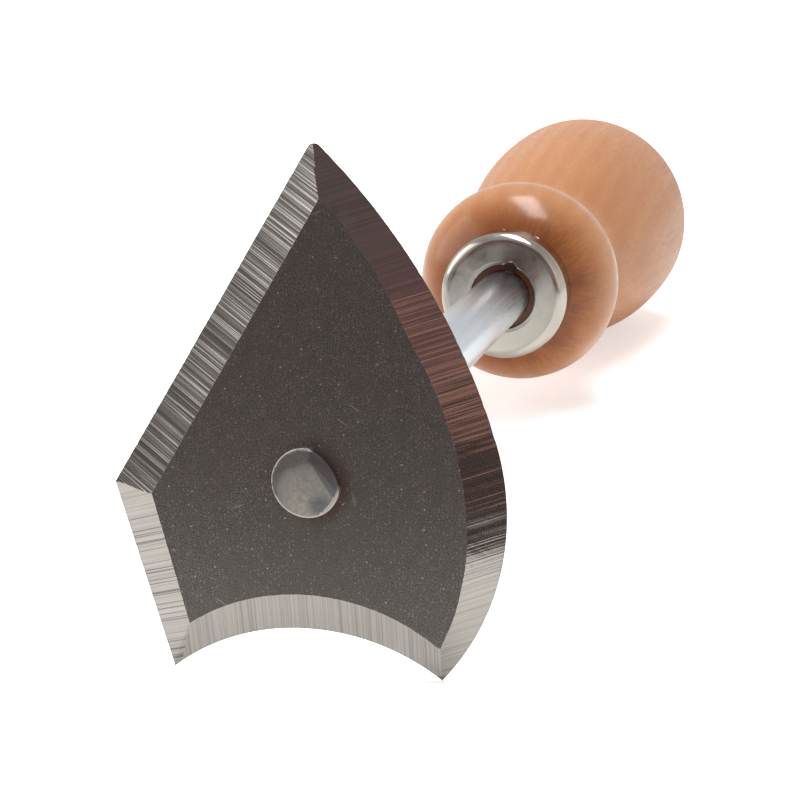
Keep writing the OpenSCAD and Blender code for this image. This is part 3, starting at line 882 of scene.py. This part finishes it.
hole_steps = 72
hole = bmesh.ops.create_circle(bm, cap_ends=False, segments=hole_steps, radius=hole_in_blade_r)["verts"]
bmesh.ops.rotate(bm, verts=hole, matrix=Matrix.Rotation(math.radians(90), 3, "Y"))
made = bmesh.ops.extrude_edge_only(bm, edges=list({e for v in hole for e in v.link_edges}))["geom"]
front_rim = [g for g in made if isinstance(g, bmesh.types.BMVert)]
bmesh.ops.translate(bm, verts=front_rim, vec=(-blade_t, 0, 0))
bmesh.ops.remove_doubles(bm, verts=bm.verts, dist=1e-6)
for x, outward in ((0, 1), (-blade_t, -1)):
    rim = [e for e in bm.edges if len(e.link_faces) == 1 and all(abs(v.co.x - x) < 1e-7 for v in e.verts)]
    bmesh.ops.triangle_fill(bm, use_beauty=True, use_dissolve=False, edges=rim, normal=(outward, 0, 0))
bmesh.ops.recalc_face_normals(bm, faces=bm.faces)
smooth_within(bm, 10)
for edge in bm.edges:
    # The ridge at the left foot is worn soft
    kinds = {f[belongs] for f in edge.link_faces}
    if kinds == {short_edge + 1, foot_corner + 1}:
        edge.smooth = True
blade = link_object("ground_blade", bm)

rolled_skin, tree, shader = new_finish("rolled_skin")
place = add_node(tree, "ShaderNodeTexCoord").outputs["Object"]
x, y, z = add_node(tree, "ShaderNodeSeparateXYZ", {0: place}).outputs
flat_place = add_node(tree, "ShaderNodeCombineXYZ", {"X": y, "Y": z}).outputs[0]
scale_grain = add_node(tree, "ShaderNodeTexNoise",
    {"Vector": place, "Scale": 6200, "Detail": 3, "Roughness": 0.75}).outputs[0]
blotches = use_group(tree, smudges, {"Vector": place, "Scale": 75})
bright_specks = use_group(tree, specks, {"Vector": flat_place, "Scale": 480, "Radius": 0.05, "Share": 0.30})
fine_specks = use_group(tree, specks, {"Vector": flat_place, "Scale": 2300, "Radius": 0.26, "Share": 0.20})
colour = mix_colour(
    tree, fade(tree, scale_grain, 0.36, 0.64), (0.090, 0.082, 0.078), (0.298, 0.275, 0.257))
patchy = add_node(tree, "ShaderNodeTexNoise",
    {"Vector": place, "Scale": 620, "Detail": 2, "Roughness": 0.6}).outputs[0]
colour = mix_colour(tree, fade(tree, patchy, 0.38, 0.62, 0, 0.28), colour, (0.120, 0.118, 0.104))
colour = mix_colour(tree, add_math(tree, "MULTIPLY", blotches, 0.35), colour, (0.185, 0.148, 0.138))
faded = use_group(tree, smudges, {"Vector": place, "Scale": 38})
colour = mix_colour(tree, add_math(tree, "MULTIPLY", faded, 0.35), colour, (0.165, 0.168, 0.150))
# Scale knocked brown round the rivet, with painted shade that is strongest on its right
from_rivet = add_node(tree, "ShaderNodeVectorMath", {0: flat_place}, operation="LENGTH").outputs["Value"]
browned_and_shaded = add_math(tree, "MULTIPLY", fade(tree, from_rivet, 5.4 * mm, 3.8 * mm, 0, 0.75), blotches)
browned_and_shaded = add_math(tree, "MULTIPLY", browned_and_shaded, fade(tree, y, 1.5 * mm, -2.5 * mm, 0.25, 1))
colour = mix_colour(tree, browned_and_shaded, colour, (0.12, 0.065, 0.048))
marks = add_math(tree, "MAXIMUM", bright_specks, add_math(tree, "MULTIPLY", fine_specks, 0.28))
for turn, shift in ((35, 0.0), (-20, 0.013), (78, 0.031)):
    line_place = add_node(tree, "ShaderNodeMapping",
        {"Vector": flat_place, "Location": (shift, shift, 0), "Rotation": (0, 0, math.radians(turn)),
         "Scale": (14, 1, 1)}, vector_type="TEXTURE").outputs[0]
    scratch = use_group(tree, specks, {"Vector": line_place, "Scale": 700, "Radius": 0.05, "Share": 0.06})
    marks = add_math(tree, "MAXIMUM", marks, add_math(tree, "MULTIPLY", scratch, 0.45))
colour = mix_colour(tree, marks, colour, (0.72, 0.69, 0.66))
tree.links.new(colour, shader.inputs["Base Color"])
shader.inputs["Metallic"].default_value = 0.9
tree.links.new(fade(tree, scale_grain, 0.3, 0.7, 0.60, 0.46), shader.inputs["Roughness"])
tree.links.new(add_bump(tree, scale_grain, 0.03 * mm), shader.inputs["Normal"])
blade.data.materials.append(rolled_skin)

ground_steel, tree, shader = new_finish("ground_steel")
along_lines = add_node(tree, "ShaderNodeUVMap", uv_map="grinding").outputs["UV"]
fine = use_group(tree, grooves, {"Vector": along_lines, "Along": 90, "Across": 15000})
middling = use_group(tree, grooves, {"Vector": along_lines, "Along": 60, "Across": 8600})
broad = use_group(tree, grooves, {"Vector": along_lines, "Along": 20, "Across": 3400})
rare = use_group(tree, grooves, {"Vector": along_lines, "Along": 30, "Across": 9500})
tilted = use_group(tree, grooves, {"Vector": along_lines, "Along": 40, "Across": 8700})
tilted_more = use_group(tree, grooves, {"Vector": along_lines, "Along": 18, "Across": 4300})
attribute = {name: add_node(tree, "ShaderNodeAttribute", attribute_name=name).outputs["Fac"]
             for name in ("inward", "ground_edge")}
on_long = add_math(tree, "LESS_THAN", attribute["ground_edge"], long_edge + 1.5)
on_left = add_math(tree, "LESS_THAN", attribute["ground_edge"], foot_corner + 1.5)
on_bow = add_math(tree, "GREATER_THAN", attribute["ground_edge"], lower_bowed + 0.5)
on_lower_bow = add_math(tree, "COMPARE", attribute["ground_edge"], lower_bowed + 1, 0.5)
on_foot = add_math(tree, "COMPARE", attribute["ground_edge"], foot_corner + 1, 0.5)
tone = add_math(tree, "MULTIPLY_ADD", fine, 0.48,
    add_math(tree, "MULTIPLY_ADD", middling, 0.40, add_math(tree, "MULTIPLY", broad, 0.12)))
fine_colour = mix_colour(tree, fade(tree, tone, 0.2, 0.8), (0.49, 0.45, 0.413), (0.60, 0.557, 0.514))
# Painted shade: the short edge and the bowed edge are a little darker than the sole
painted_edge_shade = add_math(tree, "MULTIPLY_ADD", on_left, 0.15, add_math(tree, "MULTIPLY", on_bow, 0.16))
painted_edge_shade = add_math(tree, "MULTIPLY_ADD", on_foot, -0.18, painted_edge_shade)
fine_colour = mix_colour(tree, painted_edge_shade, fine_colour, (0, 0, 0))
# The long edge was ground coarsest: dark with thin bright lines, and brighter inwards
coarse_tone = add_math(tree, "POWER", fade(tree, tone, 0.15, 0.98), 2.0)
coarse_colour = mix_colour(tree, coarse_tone, (0.17, 0.155, 0.148), (0.95, 0.90, 0.87))
bright_line = fade(tree, rare, 0.86, 0.90)
coarse_colour = mix_colour(tree, bright_line, coarse_colour, (0.97, 0.95, 0.93))
coarse_colour = mix_colour(
    tree, fade(tree, attribute["inward"], 0.8, 0, 0, 0.3), coarse_colour, (0.12, 0.112, 0.10))
colour = mix_colour(tree, on_long, fine_colour, coarse_colour)
dark_line = add_math(tree, "MULTIPLY", fade(tree, rare, 0.17, 0.13, 0, 0.6),
    add_math(tree, "MULTIPLY_ADD", on_left, 0.75, 0.5))
colour = mix_colour(tree, dark_line, colour, (0.17, 0.155, 0.145))
colour = mix_colour(tree, fade(tree, attribute["inward"], 0.985, 1, 0, 0.6), colour, (0.80, 0.75, 0.68))
# A thin painted shade along each ground face's outer edge
colour = mix_colour(tree, fade(tree, attribute["inward"], 0.028, 0, 0, 0.7), colour, (0.16, 0.145, 0.135))
# The right foot's tip is burnt dark by the wheel
place = add_node(tree, "ShaderNodeTexCoord").outputs["Object"]
from_tip = distance_to(tree, place, (-edge_land, *right_foot))
colour = mix_colour(tree, fade(tree, from_tip, 0.9 * mm, 0.3 * mm, 0, 0.7), colour, (0.16, 0.14, 0.125))
tree.links.new(colour, shader.inputs["Base Color"])
shader.inputs["Metallic"].default_value = 1.0
tree.links.new(fade(tree, tone, 0.2, 0.8, 0.19, 0.15), shader.inputs["Roughness"])
# Each groove leans a little to one side, most of all on the bowed edge
lean = add_math(tree, "ADD", add_math(tree, "SUBTRACT", tilted, 0.5),
    add_math(tree, "MULTIPLY", add_math(tree, "SUBTRACT", tilted_more, 0.5), 0.6))
lean = add_math(tree, "MULTIPLY", lean, add_math(tree, "MULTIPLY_ADD", on_bow, 0.044, 0.011))
lean = add_math(tree, "MULTIPLY_ADD", on_lower_bow, fade(tree, rare, 0.91, 0.94, 0, 0.06), lean)
leaning = add_node(tree, "ShaderNodeCombineColor",
    {"Red": 0.5, "Green": add_math(tree, "ADD", lean, 0.5), "Blue": 1.0}).outputs[0]
tree.links.new(
    add_node(tree, "ShaderNodeNormalMap", {"Color": leaning}, uv_map="grinding").outputs[0],
    shader.inputs["Normal"])
blade.data.materials.append(ground_steel)

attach(blade, "root")
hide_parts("blade")
